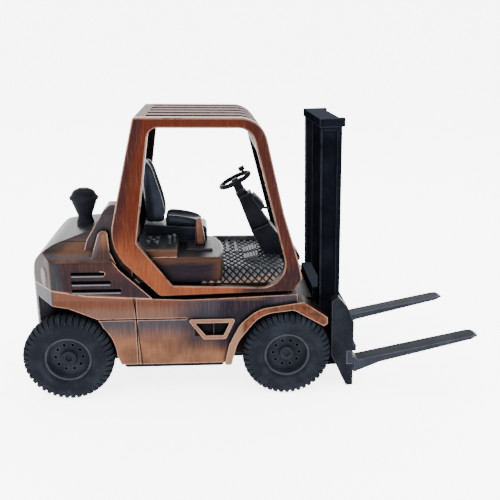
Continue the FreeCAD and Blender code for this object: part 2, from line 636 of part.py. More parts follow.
def fork():
    """Right fork: a tapered root on the carriage and a thin blade that rises to its tip."""
    y0 = -FORK_Y - FORK_W / 2
    y1 = -FORK_Y + FORK_W / 2
    heel_x = MAST_FOOT_X + CARRIAGE_BACK + BAR_THICK + 0.1
    slope = (FORK_TIP_Z - FORK_HEEL_Z) / (FORK_TIP_X - heel_x)
    knee_x = heel_x + 6.4
    knee_z = FORK_HEEL_Z + slope * (knee_x - heel_x)
    blade = side_prism([
        (heel_x, FORK_HEEL_Z), (heel_x, 3.9), (knee_x, knee_z - 1.7),
        (FORK_TIP_X - 0.15, FORK_TIP_Z - 0.6), (FORK_TIP_X, FORK_TIP_Z - 0.4),
        (FORK_TIP_X - 0.9, FORK_TIP_Z),
    ], y0, y1)
    shank = on_mast(mast_block(CARRIAGE_BACK, CARRIAGE_BACK + BAR_THICK - 0.2, y0, y1, 6.0, 9.5))
    root = side_prism([
        (heel_x - 1.6, 6.2), (heel_x - 1.6, 8.6), (heel_x, 8.0), (heel_x + 1.0, FORK_HEEL_Z + 0.2),
        (heel_x + 0.3, 5.0), (heel_x, 6.2),
    ], y0, y1)
    cut_back, cut_in, beyond = FORK_TIP_X - 2.0, 1.2, FORK_TIP_X + 0.5
    corners = [
        plan_prism([(cut_back, y0), (beyond, y0), (beyond, y0 + cut_in)], 5, 20),
        plan_prism([(cut_back, y1), (beyond, y1), (beyond, y1 - cut_in)], 5, 20),
    ]
    return fused([blade, shank, root]).cut(corners).cut(fork_carriage())


# ---- wheels ----
def tyre(axle_x, side):
    """Tyre with shouldered tread; its bead seats on the rim."""
    inner_face = TYRE_OUTER_Y - TYRE_WIDTH
    profile = [
        (RIM_R, 0.0), (8.6, 0.0), (10.0, 0.6, 0.6), (TYRE_R, 1.8, 1.0), (TYRE_R, TYRE_WIDTH - 1.5, 0.8),
        (10.2, TYRE_WIDTH - 0.4, 0.5), (8.8, TYRE_WIDTH, 0.6), (6.0, TYRE_WIDTH - 0.1),
        (RIM_R, TYRE_WIDTH - 0.5),
    ]
    return turned(profile, V(axle_x, side * inner_face, AXLE_Z), V(0, side, 0))


def rim(axle_x, side):
    """Dished wheel disc with ten small holes and a boss over the axle end."""
    inner_face = TYRE_OUTER_Y - TYRE_WIDTH
    profile = [
        (AXLE_R, 0.6), (RIM_R, 0.6), (RIM_R, TYRE_WIDTH - 0.5), (5.0, TYRE_WIDTH - 0.5),
        (4.6, TYRE_WIDTH - 2.0), (1.9, TYRE_WIDTH - 2.0), (1.6, TYRE_WIDTH - 1.2), (0.9, TYRE_WIDTH - 1.2),
        (0.8, TYRE_WIDTH - 1.6), (0.0, TYRE_WIDTH - 1.6), (0.0, TYRE_WIDTH - 2.6),
        (AXLE_R, TYRE_WIDTH - 2.6),
    ]
    wheel = turned(profile, V(axle_x, side * inner_face, AXLE_Z), V(0, side, 0))
    holes = []
    for i in range(10):
        turn = 2 * math.pi * i / 10
        x = axle_x + 3.2 * math.cos(turn)
        z = AXLE_Z + 3.2 * math.sin(turn)
        holes.append(rod(V(x, side * (TYRE_OUTER_Y - 3.0), z), V(0, side, 0), 0.36, 2.0))
    return wheel.cut(holes)


def axle(axle_x):
    """Steel axle pressed into both rims, free to turn in the chassis webs."""
    half = TYRE_OUTER_Y - 2.6
    return disc(axle_x, AXLE_Z, AXLE_R, -half, half)


def main():
    os.makedirs(PARTS, exist_ok=True)
    save("chassis_casting", step_line(chassis_casting()))
    save("base_plate", base_plate())
    save("base_screws", base_screws())
    hood = counterweight()
    save("counterweight", hood)
    save("air_intake", air_intake(hood))
    save("tail_lamps", tail_lamps())
    save("cab_floor", cab_floor())
    save("console", console(hood))
    save("control_panel", control_panel())
    save("panel_knobs", panel_knobs())
    save("hand_lever", hand_lever())
    save("seat_base", seat_base())
    save("seat_cushion", seat_cushion())
    save("seat_back", seat_back())
    save("foot_pedals", foot_pedals())
    save("steering_column", steering_column())
    save("instrument_pod", instrument_pod())
    save("steering_wheel", steering_wheel())
    save("spinner_knob", spinner_knob())
    frame_side = guard_side()
    save("guard_side_right", frame_side)
    save("guard_side_left", other_side(frame_side))
    save("guard_roof", guard_roof())
    rail = on_mast(mast_rail())
    save("mast_rail_right", rail)
    save("mast_rail_left", other_side(rail))
    save("mast_top_plate", on_mast(mast_top_plate()))
    save("mast_bracket", on_mast(mast_bracket()))
    save("mast_cylinder", on_mast(mast_cylinder()))
    save("mast_screws", on_mast(mast_screws()))
    save("fork_carriage", fork_carriage())
    right_fork = fork()
    save("fork_right", right_fork)
    save("fork_left", other_side(right_fork))
    for end, axle_x in (("rear", REAR_AXLE_X), ("front", FRONT_AXLE_X)):
        save(f"{end}_axle", axle(axle_x))
        for name, side in (("right", -1), ("left", 1)):
            save(f"{end}_tyre_{name}", tyre(axle_x, side))
            save(f"{end}_rim_{name}", rim(axle_x, side))


main()
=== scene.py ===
import bmesh
import bpy
import math
from mathutils import Matrix, Vector


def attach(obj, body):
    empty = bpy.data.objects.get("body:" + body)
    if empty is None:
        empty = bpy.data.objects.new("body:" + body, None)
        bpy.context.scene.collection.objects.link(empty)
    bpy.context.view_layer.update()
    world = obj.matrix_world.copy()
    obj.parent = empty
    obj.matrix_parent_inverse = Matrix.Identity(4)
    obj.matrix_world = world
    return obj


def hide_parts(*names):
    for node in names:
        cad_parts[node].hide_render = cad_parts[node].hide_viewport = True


# Looks for the miniature forklift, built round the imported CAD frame. Metres, +X forward,
# +Y to the driver's left, +Z up, the ground at Z = 0. Sizes below are in millimetres.

MM = 0.001
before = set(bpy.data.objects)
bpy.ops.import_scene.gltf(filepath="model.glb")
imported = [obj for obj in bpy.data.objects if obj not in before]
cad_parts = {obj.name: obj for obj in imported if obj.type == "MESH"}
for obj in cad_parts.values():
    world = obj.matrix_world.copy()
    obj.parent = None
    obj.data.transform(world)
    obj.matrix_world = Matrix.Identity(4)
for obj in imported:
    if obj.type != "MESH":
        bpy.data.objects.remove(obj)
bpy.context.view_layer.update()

# ---- places that the looks share with the frame ----
ORIGIN_X = 18.95         # design X and Z of the frame's origin
ORIGIN_Z = -0.3
WHEEL_X = {"rear": -26.0, "front": 26.0}
AXLE_Z = 10.4
TYRE_R = 10.7
TYRE_OUTER_Y = 18.0
TYRE_WIDTH = 5.6
FLOOR_TOP = 29.8
FLOOR_BEND_Y = -9.0      # the visible floor falls away from here to its near edge
FLOOR_FALL = 0.28        # slope of that fall
SHUT_LINE = (-7.98, -7.74)   # ends, along x + 0.09 z, of the line drawn in the skirt
LEDGE_Z = 20.0           # the skirt's band is above it
PANE_X = (3.9, 12.2)     # the framed panel on the skirt
PANE_Z = (15.6, 19.4)
VENT_X = (-24.3, -12.3)
PANEL_MIDDLE = (8.5, 17.5)   # side view X and Z that the patina round the framed panel spreads from
HOOD_LINE_Y = 11.6       # half width and rear end of the outline drawn on the hood
HOOD_LINE_X = -27.4
MUDGUARD_Y = 17.3        # the mudguards stand out of the skirt beyond this
SMOOTH_CAD_ANGLE = 28.0


def at(x, y, z):
    """A point given in design millimetres, in the row frame."""
    return Vector(((x - ORIGIN_X) * MM, y * MM, (z - ORIGIN_Z) * MM))


# ---- shader graph helpers ----
STUDIO_DEPTH = 0.19


class Graph:
    """A principled material under construction. Positions are in design millimetres.

    Colours are given as they look under unit light, and are set deeper by the brighter studio."""

    def __init__(self, name, depth=STUDIO_DEPTH):
        self.depth = depth
        self.material = bpy.data.materials.new(name)
        self.material.use_nodes = True
        self.nodes = self.material.node_tree.nodes
        self.links = self.material.node_tree.links
        self.shader = self.nodes["Principled BSDF"]
        coordinates = self.nodes.new("ShaderNodeTexCoord")
        scale = self.nodes.new("ShaderNodeVectorMath")
        scale.operation = "MULTIPLY_ADD"
        self.links.new(coordinates.outputs["Object"], scale.inputs[0])
        scale.inputs[1].default_value = (1 / MM, 1 / MM, 1 / MM)
        scale.inputs[2].default_value = (ORIGIN_X, 0, ORIGIN_Z)
        self.place = scale.outputs[0]
        self.x, self.y, self.z = self.split(self.place)
        geometry = self.nodes.new("ShaderNodeNewGeometry")
        facing = self.nodes.new("ShaderNodeVectorTransform")
        facing.vector_type = "NORMAL"
        facing.convert_from = "WORLD"
        facing.convert_to = "OBJECT"
        self.links.new(geometry.outputs["Normal"], facing.inputs[0])
        self.face_x, self.face_y, self.face_z = self.split(facing.outputs[0])

    def split(self, vector):
        node = self.nodes.new("ShaderNodeSeparateXYZ")
        self.links.new(vector, node.inputs[0])
        return node.outputs[:3]

    def put(self, value, socket):
        if isinstance(value, bpy.types.NodeSocket):
            self.links.new(value, socket)
        elif isinstance(value, (tuple, list)) and len(value) == 3 and socket.type == "RGBA":
            socket.default_value = (*(self.depth * c for c in value), 1)
        else:
            socket.default_value = value

    def compute(self, operation, a, b=0.0, clamp=False):
        node = self.nodes.new("ShaderNodeMath")
        node.operation = operation
        node.use_clamp = clamp
        self.put(a, node.inputs[0])
        self.put(b, node.inputs[1])
        return node.outputs[0]

    def add(self, a, b):
        return self.compute("ADD", a, b)

    def times(self, a, *others):
        for other in others:
            a = self.compute("MULTIPLY", a, other)
        return a

    def most(self, a, b):
        return self.compute("MAXIMUM", a, b)

    def invert(self, a):
        return self.compute("SUBTRACT", 1.0, a, clamp=True)

    def size(self, a):
        return self.compute("ABSOLUTE", a)

    def slant(self, x_share, z_share):
        """Distance along a direction in the side view."""
        return self.add(self.times(self.x, x_share), self.times(self.z, z_share))

    def ramp(self, value, low, high):
        """0 at low, 1 at high, smooth between; low may be the larger."""
        node = self.nodes.new("ShaderNodeMapRange")
        node.interpolation_type = "SMOOTHSTEP"
        self.put(value, node.inputs["Value"])
        start, end, first, last = (low, high, 0.0, 1.0) if low < high else (high, low, 1.0, 0.0)
        node.inputs["From Min"].default_value = start
        node.inputs["From Max"].default_value = end
        node.inputs["To Min"].default_value = first
        node.inputs["To Max"].default_value = last
        return node.outputs["Result"]

    def band(self, value, low, high, soft):
        """1 between low and high with soft edges."""
        risen = self.ramp(value, low - soft, low + soft)
        return self.times(risen, self.ramp(value, high + soft, high - soft))

    def noise(self, size, detail=3.0, rough=0.55, stretch=(1, 1, 1), offset=0.0):
        """Noise of a feature size in millimetres, 0 to 1, drawn out by stretch."""
        mapping = self.nodes.new("ShaderNodeVectorMath")
        mapping.operation = "MULTIPLY_ADD"
        self.links.new(self.place, mapping.inputs[0])
        mapping.inputs[1].default_value = tuple(1 / (size * s) for s in stretch)
        mapping.inputs[2].default_value = (offset, offset * 0.7, offset * 1.3)
        node = self.nodes.new("ShaderNodeTexNoise")
        node.inputs["Scale"].default_value = 1.0
        node.inputs["Detail"].default_value = detail
        node.inputs["Roughness"].default_value = rough
        self.links.new(mapping.outputs[0], node.inputs["Vector"])
        return node.outputs[0]

    def mix(self, share, a, b):
        node = self.nodes.new("ShaderNodeMix")
        node.data_type = "RGBA"
        self.put(share, node.inputs[0])
        self.put(a, node.inputs[6])
        self.put(b, node.inputs[7])
        return node.outputs[2]

    def occlusion(self, distance, inside=False):
        """1 in the open, falling to 0 in corners; with inside, falling at thin and sharp edges."""
        node = self.nodes.new("ShaderNodeAmbientOcclusion")
        node.samples = 8
        node.inside = inside
        node.only_local = not inside
        node.inputs["Distance"].default_value = distance * MM
        return node.outputs["AO"]

    def edges(self, width):
        """Bright on sharp outer edges, broken up along their length."""
        edge = self.ramp(self.occlusion(width, inside=True), 0.85, 0.58)
        return self.times(edge, self.ramp(self.noise(2.2, offset=4.0), 0.22, 0.5))

    def bump(self, height, depth, edge_radius=0.0):
        """Relief of a depth in millimetres, over edges rounded by edge_radius."""
        node = self.nodes.new("ShaderNodeBump")
        node.inputs["Distance"].default_value = depth * MM
        node.inputs["Strength"].default_value = 1.0
        self.put(height, node.inputs["Height"])
        if edge_radius:
            soft = self.nodes.new("ShaderNodeBevel")
            soft.samples = 6
            soft.inputs["Radius"].default_value = edge_radius * MM
            self.links.new(soft.outputs[0], node.inputs["Normal"])
        self.links.new(node.outputs[0], self.shader.inputs["Normal"])

    def set(self, **sockets):
        for name, value in sockets.items():
            socket = name.replace("_", " ").title().replace("Ior", "IOR")
            self.put(value, self.shader.inputs[socket])
        return self.material


# ---- colours, linear ----
COPPER_LIGHT = (0.66, 0.30, 0.18)
EDGE_PINK = (1.30, 0.72, 0.50)
COPPER = (0.36, 0.098, 0.040)
COPPER_RED = (0.140, 0.028, 0.013)
COPPER_TAN = (0.42, 0.185, 0.100)
COPPER_BAND = (0.200, 0.075, 0.046)
BROWN = (0.075, 0.032, 0.024)
PURPLE = (0.036, 0.018, 0.024)
PATINA = (0.010, 0.010, 0.015)
PATINA_BLUE = (0.060, 0.072, 0.100)
# The next colour is a painted silver-blue highlight.
HIGHLIGHT_BLUE = (0.30, 0.33, 0.40)
BLACK = (0.0016, 0.0016, 0.0024)


def brushed(graph, direction):
    """Fine brush lines along an axis, and slower tone changes in the same direction."""
    stretch = {"z": (1, 1, 30), "x": (30, 1, 1), "y": (1, 30, 1)}[direction]
    fine = graph.noise(0.17, 2.0, 0.6, stretch)
    broad = graph.noise(0.6, 2.0, 0.5, tuple(0.3 * s + 0.7 for s in stretch), 9.0)
    return graph.add(graph.times(fine, 0.85), graph.times(broad, 0.15))


def antique(graph, colour, direction="z", dark=PATINA, recess=1.0, reach=1.6, edge=EDGE_PINK,
            edge_width=0.3, edge_share=0.9, metal=0.9, rough=0.42, streak=0.5, round_edge=0.2,
            dark_gaps_and_shade=None, calm=None, lip_highlight=None):
    """Finishes a plated casting: brush lines, dark recesses, bright worn edges, fine pits.

    The mask of dark joints and painted shade is painted black, calm has no worn edges, and the lip mask
    gets a painted silver-blue highlight."""
    lines = brushed(graph, direction)
    tone = graph.mix(graph.times(graph.ramp(lines, 0.60, 0.30), 0.8 * streak), colour, dark)
    tone = graph.mix(graph.times(graph.ramp(lines, 0.48, 0.74), 0.35 * streak), tone, COPPER_LIGHT)
    cavity = graph.times(graph.ramp(graph.occlusion(reach), 0.86, 0.42), recess)
    tone = graph.mix(cavity, tone, dark)
    pits = graph.ramp(graph.noise(0.6, 1.0, 0.4, offset=20.0), 0.25, 0.19)
    tone = graph.mix(graph.times(pits, 0.6), tone, dark)
    worn = graph.times(graph.edges(edge_width), edge_share)
    if calm:
        worn = graph.times(worn, graph.invert(calm))
    tone = graph.mix(worn, tone, edge)
    # Painted highlight: silver-blue where the lip mask is set.
    if lip_highlight:
        tone = graph.mix(lip_highlight, tone, HIGHLIGHT_BLUE)
    # Dark joints and painted shade: black where that mask is set.
    if dark_gaps_and_shade:
        tone = graph.mix(dark_gaps_and_shade, tone, BLACK)
    roughness = graph.add(graph.times(lines, 0.2), rough - 0.1)
    roughness = graph.add(roughness, graph.times(cavity, 0.25))
    graph.bump(graph.add(lines, graph.times(pits, -1.5)), 0.014, round_edge)
    return graph.set(base_color=tone, metallic=metal, roughness=roughness, specular_ior_level=0.05)


LOOP_X, LOOP_Z = 5.0, 46.0


def inward(graph):
    """1 on the faces that look into the opening of the guard, which the guard paints black as painted
    shade.
    """
    across = graph.times(graph.add(graph.x, -LOOP_X), graph.face_x)
    up = graph.times(graph.add(graph.z, -LOOP_Z), graph.face_z)
    into = graph.ramp(graph.add(across, up), 0.0, -2.0)
    return graph.times(into, graph.ramp(graph.size(graph.face_y), 0.55, 0.35))


def guard_finish():
    graph = Graph("guard_copper")
    cloud = graph.noise(3.0, 3.0, stretch=(1, 1, 3), offset=2.0)
    low = graph.ramp(graph.slant(0.35, 1.0), 40.0, 29.0)
    colour = graph.mix(low, COPPER_RED, COPPER)
    along_pillar = graph.add(graph.slant(1.0, -0.232), graph.times(cloud, 2.2))
    pillar_left = graph.ramp(along_pillar, -20.1, -22.2)
    upper = graph.ramp(graph.z, 34.0, 42.0)
    rear_dark = graph.times(pillar_left, upper, 0.75)
    front_dark = graph.times(graph.ramp(graph.slant(1.0, 0.25), 28.5, 35.5), 0.6)
    # Painted shade: the lower front corner of the guard is painted dark purple.
    corner_shade = graph.times(graph.ramp(graph.slant(1.0, 0.2), 17.0, 23.0),
                              graph.ramp(graph.z, 38.0, 31.0))
    shade = graph.most(graph.most(rear_dark, front_dark), corner_shade)
    colour = graph.mix(shade, colour, PURPLE)
    mottle = graph.ramp(cloud, 0.42, 0.68)
    colour = graph.mix(graph.times(mottle, 0.25), colour, BROWN)
    # Painted highlight: the bevelled faces along the guard's edges are painted pink, as if they catch
    # the light.
    chamfer_highlight = graph.times(graph.band(graph.size(graph.face_y), 0.62, 0.80, 0.04),
                          graph.ramp(graph.noise(3.0, offset=11.0), 0.25, 0.5))
    colour = graph.mix(graph.times(chamfer_highlight, 0.42), colour, EDGE_PINK)
    # Painted shade: faces that look into the guard's opening, the far guard's inner face and low faces
    # turned down are painted black.
    far_inside = graph.times(graph.ramp(graph.y, 0.0, 1.0), graph.ramp(graph.face_y, -0.4, -0.8))
    under = graph.times(graph.ramp(graph.face_z, -0.5, -0.8), graph.ramp(graph.z, 29.0, 27.0))
    black = graph.most(graph.most(inward(graph), far_inside), under)
    return antique(graph, colour, dark=(0.036, 0.013, 0.012), edge_width=0.42, rough=0.4,
                   streak=0.5, recess=0.4, dark_gaps_and_shade=graph.times(black, 0.95))


def roof_finish():
    graph = Graph("roof_copper")
    cloud = graph.noise(4.0, 3.0, offset=6.0)
    colour = graph.mix(graph.ramp(cloud, 0.35, 0.7), (0.26, 0.105, 0.078), (0.38, 0.165, 0.125))
    front = graph.ramp(graph.x, 14.0, 20.0)
    colour = graph.mix(front, colour, BROWN)
    # Painted shade: all but the up-facing tops of the roof bars are painted black.
    black = graph.ramp(graph.face_z, 0.45, 0.2)
    return antique(graph, colour, "x", edge_width=0.3, rough=0.55, streak=0.3, recess=0.0,
                   metal=0.25, dark_gaps_and_shade=black)


def skirt_finish():
    graph = Graph("skirt_copper")
    cloud = graph.noise(6.0, 3.0, 0.6, offset=1.0)
    drift = graph.times(graph.add(cloud, -0.5), 2.6)
    height = graph.add(graph.z, drift)
    tan = graph.mix(graph.ramp(cloud, 0.35, 0.7), (0.24, 0.110, 0.066), COPPER_TAN)
    lower = graph.mix(graph.times(graph.ramp(height, 13.6, 19.6), 0.9), tan, PATINA_BLUE)
    upper = graph.mix(graph.ramp(height, 21.6, 24.2), (0.25, 0.130, 0.095), COPPER_BAND)
    blue_front = graph.times(graph.ramp(graph.add(graph.x, graph.times(drift, 2.0)), -5.0, 7.0),
                             0.85)
    upper = graph.mix(blue_front, upper, (0.050, 0.056, 0.078))
    colour = graph.mix(graph.ramp(graph.z, LEDGE_Z, LEDGE_Z + 0.3), lower, upper)
    near_panel_x = graph.ramp(graph.size(graph.add(graph.x, -PANEL_MIDDLE[0])), 11.0, 4.5)
    near_panel_z = graph.ramp(graph.size(graph.add(graph.z, -PANEL_MIDDLE[1])), 7.0, 2.5)
    colour = graph.mix(graph.times(near_panel_x, near_panel_z, 0.8), colour, (0.030, 0.035, 0.050))
    along_guard = graph.times(graph.band(graph.x, 9.5, 22.0, 2.0), graph.ramp(graph.z, 9.0, 15.0))
    colour = graph.mix(graph.times(along_guard, 0.85), colour, (0.016, 0.016, 0.026))
    lip = graph.times(graph.ramp(graph.slant(0.012, 1.0), 24.5, 24.9),
                      graph.ramp(graph.x, 22.0, 18.0))
    colour = graph.mix(graph.times(lip, 0.3), colour, (0.34, 0.16, 0.11))
    tail = graph.ramp(graph.x, -28.0, -29.0)
    tail_tone = graph.mix(graph.ramp(height, 24.0, 27.5), (0.020, 0.024, 0.034),
                          (0.044, 0.050, 0.066))
    colour = graph.mix(tail, colour, tail_tone)
    groove = graph.band(graph.slant(1.0, 0.09), *SHUT_LINE, 0.06)
    frame_bright = graph.times(graph.ramp(graph.size(graph.y), 17.15, 17.35),
                               graph.ramp(graph.z, 14.0, 14.4))
    outer = graph.times(frame_bright, graph.ramp(graph.size(graph.face_y), 0.5, 0.9))
    colour = graph.mix(graph.times(outer, 0.85), colour, (0.42, 0.215, 0.135))
    mudguard = graph.times(graph.ramp(graph.size(graph.y), MUDGUARD_Y, MUDGUARD_Y + 0.3),
                           graph.ramp(graph.x, 10.4, 10.9))
    guard_face = graph.times(mudguard, graph.ramp(graph.size(graph.face_y), 0.6, 0.9),
                             graph.ramp(graph.x, 15.6, 14.0))
    colour = graph.mix(guard_face, colour, (0.46, 0.245, 0.150))
    arch = graph.times(mudguard, graph.ramp(graph.x, 14.5, 16.0))
    peel = graph.ramp(graph.noise(1.2, 3.0, offset=8.0), 0.3, 0.65)
    orange_peel = graph.mix(peel, (0.095, 0.038, 0.023), (0.27, 0.090, 0.042))
    colour = graph.mix(arch, colour, orange_peel)
    # Painted highlight: on the mudguard's top face the upper part is painted light blue-grey; the lower
    # part is dark brown.
    guard_top = graph.times(graph.ramp(graph.x, 11.5, 12.5),
                            graph.ramp(graph.size(graph.y), 12.0, 12.4),
                            graph.ramp(graph.face_z, 0.15, 0.45))
    lit_top_tone = graph.mix(graph.ramp(graph.z, 21.5, 24.0), (0.034, 0.016, 0.014), (0.12, 0.10, 0.11))
    nose_top = graph.mix(graph.ramp(graph.x, 28.0, 30.5), lit_top_tone, (0.050, 0.024, 0.018))
    colour = graph.mix(graph.times(guard_top, 0.9), colour, nose_top)
    # Painted shade: faces set in behind the side and faces turned down are painted black, except at the
    # tail, on the mudguard's outside and on its top.
    inner_and_under_shade = graph.most(graph.ramp(graph.size(graph.y), 16.6, 15.6),
                        graph.ramp(graph.face_z, -0.6, -0.9))
    outside_skirt = graph.invert(graph.times(mudguard, graph.ramp(graph.z, 9.0, 10.0)))
    shadowed = graph.times(inner_and_under_shade, graph.ramp(graph.x, -31.0, -29.0), outside_skirt)
    shadowed = graph.times(shadowed, graph.invert(guard_top))
    pane = graph.times(graph.band(graph.x, *PANE_X, 0.05), graph.band(graph.z, *PANE_Z, 0.05),
                       graph.ramp(graph.size(graph.y), 17.2, 17.1))
    black = graph.most(graph.most(graph.times(shadowed, 0.96), groove), graph.times(pane, 0.85))
    return antique(graph, colour, dark=(0.014, 0.014, 0.022), edge_width=0.4,
                   edge=(0.80, 0.45, 0.31), rough=0.46, streak=0.4, reach=1.3, recess=0.9,
                   metal=0.9, dark_gaps_and_shade=black)


VENTS = [(31.6, -16.4), (29.5, -15.1), (27.5, -12.8)]   # level and front end of each side vent


def counterweight_finish():
    graph = Graph("counterweight_copper")
    cloud = graph.noise(5.0, 3.0, offset=5.0)
    side = graph.ramp(graph.size(graph.face_y), 0.8, 0.97)
    red_side = graph.ramp(graph.add(graph.slant(0.25, 1.0), graph.times(cloud, 4.0)), 27.0, 32.0)
    panel = graph.mix(graph.times(red_side, 0.55), PURPLE, (0.095, 0.036, 0.028))
    rear_side = graph.ramp(graph.add(graph.x, graph.times(cloud, 3.0)), -23.5, -26.5)
    panel = graph.mix(rear_side, panel, (0.050, 0.056, 0.066))
    shoulder = graph.mix(graph.ramp(cloud, 0.35, 0.65), (0.080, 0.040, 0.028), (0.20, 0.088, 0.048))
    crown = graph.mix(graph.ramp(graph.size(graph.y), 12.5, 9.5), shoulder, (0.034, 0.038, 0.048))
    behind = graph.ramp(graph.slant(1.0, -0.5), -43.5, -47.0)
    crown = graph.mix(graph.times(behind, 0.9), crown, (0.032, 0.026, 0.026))
    grey_lip = graph.band(graph.size(graph.y), 15.0, 16.4, 0.4)
    crown = graph.mix(graph.times(grey_lip, 0.55), crown, (0.13, 0.13, 0.15))
    colour = graph.mix(side, crown, panel)
    tail = graph.times(graph.ramp(graph.x, -28.7, -29.6), graph.ramp(graph.z, 34.5, 32.0))
    tail_tone = graph.mix(graph.ramp(cloud, 0.4, 0.6), (0.012, 0.014, 0.022), (0.040, 0.026, 0.022))
    colour = graph.mix(graph.times(tail, 0.9), colour, tail_tone)
    slope = graph.times(graph.ramp(graph.slant(1.0, -0.36), -34.2, -33.4),
                        graph.ramp(graph.z, 36.2, 38.0))
    slope_tone = graph.mix(graph.ramp(graph.y, -13.2, -13.9), (0.13, 0.056, 0.036),
                           (0.056, 0.052, 0.060))
    colour = graph.mix(slope, colour, slope_tone)
    wing = graph.times(graph.ramp(graph.x, -20.6, -19.6), graph.ramp(graph.z, 34.6, 35.6),
                       graph.ramp(graph.size(graph.y), 15.0, 15.5))
    wing_tone = graph.mix(graph.ramp(graph.z, 36.0, 41.0), (0.060, 0.034, 0.030),
                          (0.30, 0.125, 0.062))
    wing_edge = graph.ramp(graph.slant(1.0, -0.36), -30.6, -31.5)
    wing_tone = graph.mix(graph.times(wing_edge, 0.75), wing_tone, (0.10, 0.10, 0.115))
    colour = graph.mix(wing, colour, wing_tone)
    seam_soft = graph.ramp(graph.size(graph.face_y), 0.35, 0.9)
    seam = graph.times(graph.ramp(graph.slant(0.11, 1.0), 24.75, 24.4), seam_soft)
    colour = graph.mix(graph.times(seam, 0.5), colour, COPPER)
    # Painted shade: the faces turned forward, towards the cab, are painted black.
    front_face_shade = graph.times(graph.ramp(graph.face_x, 0.35, 0.6),
                            graph.ramp(graph.size(graph.face_y), 0.8, 0.5))
    vent = graph.times(graph.ramp(graph.size(graph.y), 16.95, 16.7),
                       graph.band(graph.x, *VENT_X, 0.1), graph.ramp(graph.z, 32.6, 32.2),
                       graph.ramp(graph.size(graph.y), 15.8, 16.0))
    near_vents = graph.times(graph.band(graph.x, -24.8, -11.5, 0.3),
                             graph.band(graph.z, 26.6, 32.6, 0.2),
                             graph.ramp(graph.slant(0.9, 1.0), 16.6, 16.2))
    # Painted highlight: up-facing faces in the vent slots are painted silver-blue; the rest of each slot
    # is painted black.
    vent_sill_highlight = graph.times(vent, graph.ramp(graph.face_z, 0.5, 0.8))
    colour = graph.mix(vent_sill_highlight, colour, HIGHLIGHT_BLUE)
    black = graph.most(front_face_shade, graph.times(vent, graph.invert(vent_sill_highlight)))
    rim = graph.most(graph.add(graph.size(graph.y), -HOOD_LINE_Y),
                     graph.add(graph.times(graph.x, -1.0), HOOD_LINE_X))
    outline = graph.times(graph.ramp(graph.size(rim), 0.20, 0.10),
                          graph.ramp(graph.x, -17.0, -18.0), graph.ramp(graph.face_z, 0.25, 0.35))
    black = graph.most(black, graph.times(outline, 0.9))
    # Painted highlight: a silver-blue band on the side face under each vent.
    vent_lip_highlights = 0.0
    for level, front in VENTS:
        lip = graph.times(graph.band(graph.z, level - 0.80, level - 0.46, 0.06),
                          graph.band(graph.x, -23.9, front - 0.2, 0.1))
        vent_lip_highlights = graph.most(vent_lip_highlights, lip)
    vent_lip_highlights = graph.times(vent_lip_highlights, graph.ramp(graph.size(graph.y), 16.6, 16.8), 0.7)
    return antique(graph, colour, dark=(0.010, 0.010, 0.016), edge_width=0.42,
                   edge=(1.10, 0.62, 0.44), rough=0.46, streak=0.35, round_edge=0.45, metal=0.45,
                   dark_gaps_and_shade=black, calm=near_vents, lip_highlight=vent_lip_highlights)


def cab_finish():
    graph = Graph("cab_patina_lit_tops")
    cloud = graph.noise(4.0, 3.0, offset=3.0)
    # Painted highlight: up-facing faces are painted a lighter blue-grey than the dark purple sides, as
    # if lit from above; near the near edge and the front corner the tops are worn copper.
    top = graph.ramp(graph.face_z, 0.5, 0.9)
    lit_top_tone = graph.mix(graph.ramp(cloud, 0.35, 0.7), (0.036, 0.043, 0.056), (0.070, 0.075, 0.090))
    near = graph.ramp(graph.add(graph.y, graph.times(cloud, 2.0)), -12.0, -13.6)
    corner = graph.times(graph.ramp(graph.x, 7.5, 10.4), graph.ramp(graph.y, -8.0, -12.0))
    lit_top_tone = graph.mix(graph.times(graph.most(near, corner), 0.8), lit_top_tone, (0.30, 0.150, 0.105))
    front = graph.ramp(graph.add(graph.z, graph.times(cloud, 1.5)), 33.0, 35.2)
    end = graph.ramp(graph.x, 7.0, 10.6)
    worn_side = graph.times(graph.most(front, graph.times(end, 0.8)), 0.9)
    side_tone = graph.mix(worn_side, (0.022, 0.018, 0.026), (0.14, 0.062, 0.038))
    colour = graph.mix(top, side_tone, lit_top_tone)
    return antique(graph, colour, "x", dark=(0.008, 0.008, 0.012), edge_width=0.35,
                   edge=(1.70, 1.05, 0.82), rough=0.42, streak=0.22, metal=0.85, round_edge=0.35)


def lever_finish():
    graph = Graph("lever_copper")
    stick = graph.ramp(graph.z, 35.0, 35.3)
    front = graph.ramp(graph.size(graph.face_y), 0.5, 0.8)
    cloud = graph.ramp(graph.noise(2.0, stretch=(1, 1, 3)), 0.35, 0.65)
    copper = graph.mix(cloud, (0.19, 0.070, 0.044), (0.33, 0.155, 0.105))
    middle = graph.ramp(graph.size(graph.add(graph.slant(1.0, 0.02), -6.12)), 0.95, 0.6)
    stick_tone = graph.mix(graph.times(front, middle), (0.010, 0.008, 0.010), copper)
    # Painted highlight: the plate's up-facing faces are painted a lighter blue-grey than its sides.
    plate_tone_lit_top = graph.mix(graph.ramp(graph.face_z, 0.4, 0.8), (0.016, 0.016, 0.022),
                           (0.060, 0.068, 0.085))
    colour = graph.mix(stick, plate_tone_lit_top, stick_tone)
    return antique(graph, colour, edge_width=0.22, edge=(0.46, 0.32, 0.27), edge_share=0.6,
                   rough=0.42, streak=0.3, metal=0.55)


